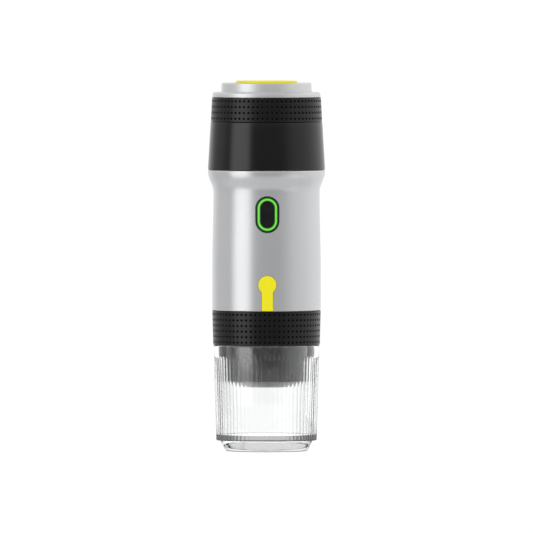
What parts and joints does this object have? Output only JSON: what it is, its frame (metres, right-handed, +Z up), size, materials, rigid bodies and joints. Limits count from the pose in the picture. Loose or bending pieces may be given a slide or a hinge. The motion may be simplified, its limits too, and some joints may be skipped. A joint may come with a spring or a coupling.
{
  "type": "portable coffee maker",
  "caption": "Battery-heated travel espresso maker: water tank with screw lid, pump body with power button, capsule brew head and clear ribbed cup it stands on.",
  "frame": {"origin": "centre of the cup's foot, on the surface that the coffee maker stands on", "axes": "+Z up along the round body's axis, -Y towards the side with the power button and charging port"},
  "size_m": [0.072, 0.072, 0.2274],
  "materials": {
    "clear_plastic": "clear polished copolyester",
    "black_plastic": "moulded, fine matte grain",
    "satin_black_plastic": "satin black paint",
    "gloss_black_plastic": "gloss",
    "grey_plastic": "semi-gloss moulded nylon",
    "natural_plastic": "uncoloured moulded plastic",
    "black_silicone": "matte silicone rubber",
    "white_silicone": "matte silicone rubber",
    "clear_silicone": "milky silicone hose",
    "yellow_silicone": "smooth silicone rubber",
    "yellow_inlay": "smooth moulded disc",
    "green_light_guide": "lit light guide",
    "silver_paint": "satin silver paint on moulded plastic",
    "silver_paint_lid": "satin silver paint on moulded plastic",
    "stainless_steel": "drawn stainless steel",
    "screw_steel": "zinc plated",
    "motor_steel": "plated steel",
    "cast_aluminium": "as cast",
    "cell_wrap": "shrink wrap over a cell of about this density",
    "circuit_board": "solder mask",
    "nickel": "nickel plated",
    "magnet": "sintered ferrite"
  },
  "bodies": {
    "cup": {"cup": "clear_plastic"},
    "brew_head": {"brew_collar": "black_plastic", "brew_grip_band": "black_silicone", "capsule_holder": "grey_plastic", "capsule_piercer": "stainless_steel", "spout_cover": "grey_plastic", "spout_insert": "grey_plastic", "spout_seal": "white_silicone"},
    "brew_seal_ring": {"brew_seal": "white_silicone"},
    "power_key": {"button_key": "gloss_black_plastic", "switch_plunger": "natural_plastic"},
    "plug": {"port_plug": "yellow_silicone"},
    "rotor": {"motor_rotor": "motor_steel", "pump_drive_cam": "natural_plastic"},
    "lid_seal_ring": {"lid_seal": "white_silicone"},
    "water_lid": {"lid_core": "black_plastic", "lid_liner": "natural_plastic", "lid_grip_band": "black_silicone", "lid_cap": "silver_paint_lid", "lid_screws": "screw_steel", "lid_vent": "white_silicone", "lid_inlay": "yellow_inlay"},
    "housing": {"brew_group": "black_plastic", "shower_plate": "stainless_steel", "main_shell": "silver_paint", "button_bezel": "black_plastic", "button_light_ring": "green_light_guide", "tact_switch": "black_plastic", "port_tray": "black_plastic", "charge_port": "nickel", "port_plug_anchor": "yellow_silicone", "lower_deck": "natural_plastic", "upper_deck": "natural_plastic", "body_screws": "screw_steel", "battery_cells": "cell_wrap", "cell_links": "nickel", "control_board": "circuit_board", "board_parts": "gloss_black_plastic", "motor_can": "motor_steel", "motor_end_bell": "natural_plastic", "motor_magnets": "magnet", "motor_grommet": "black_silicone", "pump_body": "natural_plastic", "pump_swash_plate": "natural_plastic", "pump_membrane": "black_silicone", "pump_cover": "natural_plastic", "pump_screws": "screw_steel", "pump_pad": "black_silicone", "suction_hose": "clear_silicone", "delivery_hose": "clear_silicone", "shroud_base": "natural_plastic", "tank_shroud": "satin_black_plastic", "water_tank": "stainless_steel", "tank_outlet": "natural_plastic", "tank_strainer": "stainless_steel", "heater_plate": "cast_aluminium", "heater_pad": "white_silicone", "heater_bracket": "screw_steel", "thermal_sensors": "nickel"}
  },
  "joints": [
    {"name": "cup_release", "type": "slide", "parent": "cup", "child": "brew_head", "axis": [0, 0, 1], "range_m": [0, 0.032]},
    {"name": "brew_seal_rise", "type": "slide", "parent": "brew_head", "child": "brew_seal_ring", "axis": [0, 0, 1], "range_m": [0, 0.014]},
    {"name": "brew_head_unscrew", "type": "hinge", "parent": "brew_seal_ring", "child": "housing", "pos_m": [0, 0, 0.08], "axis": [0, 0, 1], "range_deg": [0, 720]},
    {"name": "lid_seal_rise", "type": "slide", "parent": "housing", "child": "lid_seal_ring", "axis": [0, 0, 1], "range_m": [0, 0.014]},
    {"name": "lid_unscrew", "type": "hinge", "parent": "lid_seal_ring", "child": "water_lid", "pos_m": [0, 0, 0.21], "axis": [0, 0, 1], "range_deg": [0, 720]},
    {"name": "power_key_press", "type": "slide", "parent": "housing", "child": "power_key", "axis": [0, 1, 0], "range_m": [0, 0.0006], "stiffness_N_per_m": 2000},
    {"name": "port_plug_swing", "type": "hinge", "parent": "housing", "child": "plug", "pos_m": [0, -0.03275, 0.0884], "axis": [1, 0, 0], "range_deg": [0, 100]},
    {"name": "rotor_spin", "type": "hinge", "parent": "housing", "child": "rotor", "pos_m": [0, -0.00838, 0.137], "axis": [0, 0, 1], "continuous": true}
  ],
  "couplings": [
    {"joint": "brew_seal_rise", "follows": "brew_head_unscrew", "m_per_rad": 0.001114},
    {"joint": "lid_seal_rise", "follows": "lid_unscrew", "m_per_rad": 0.001114}
  ]
}
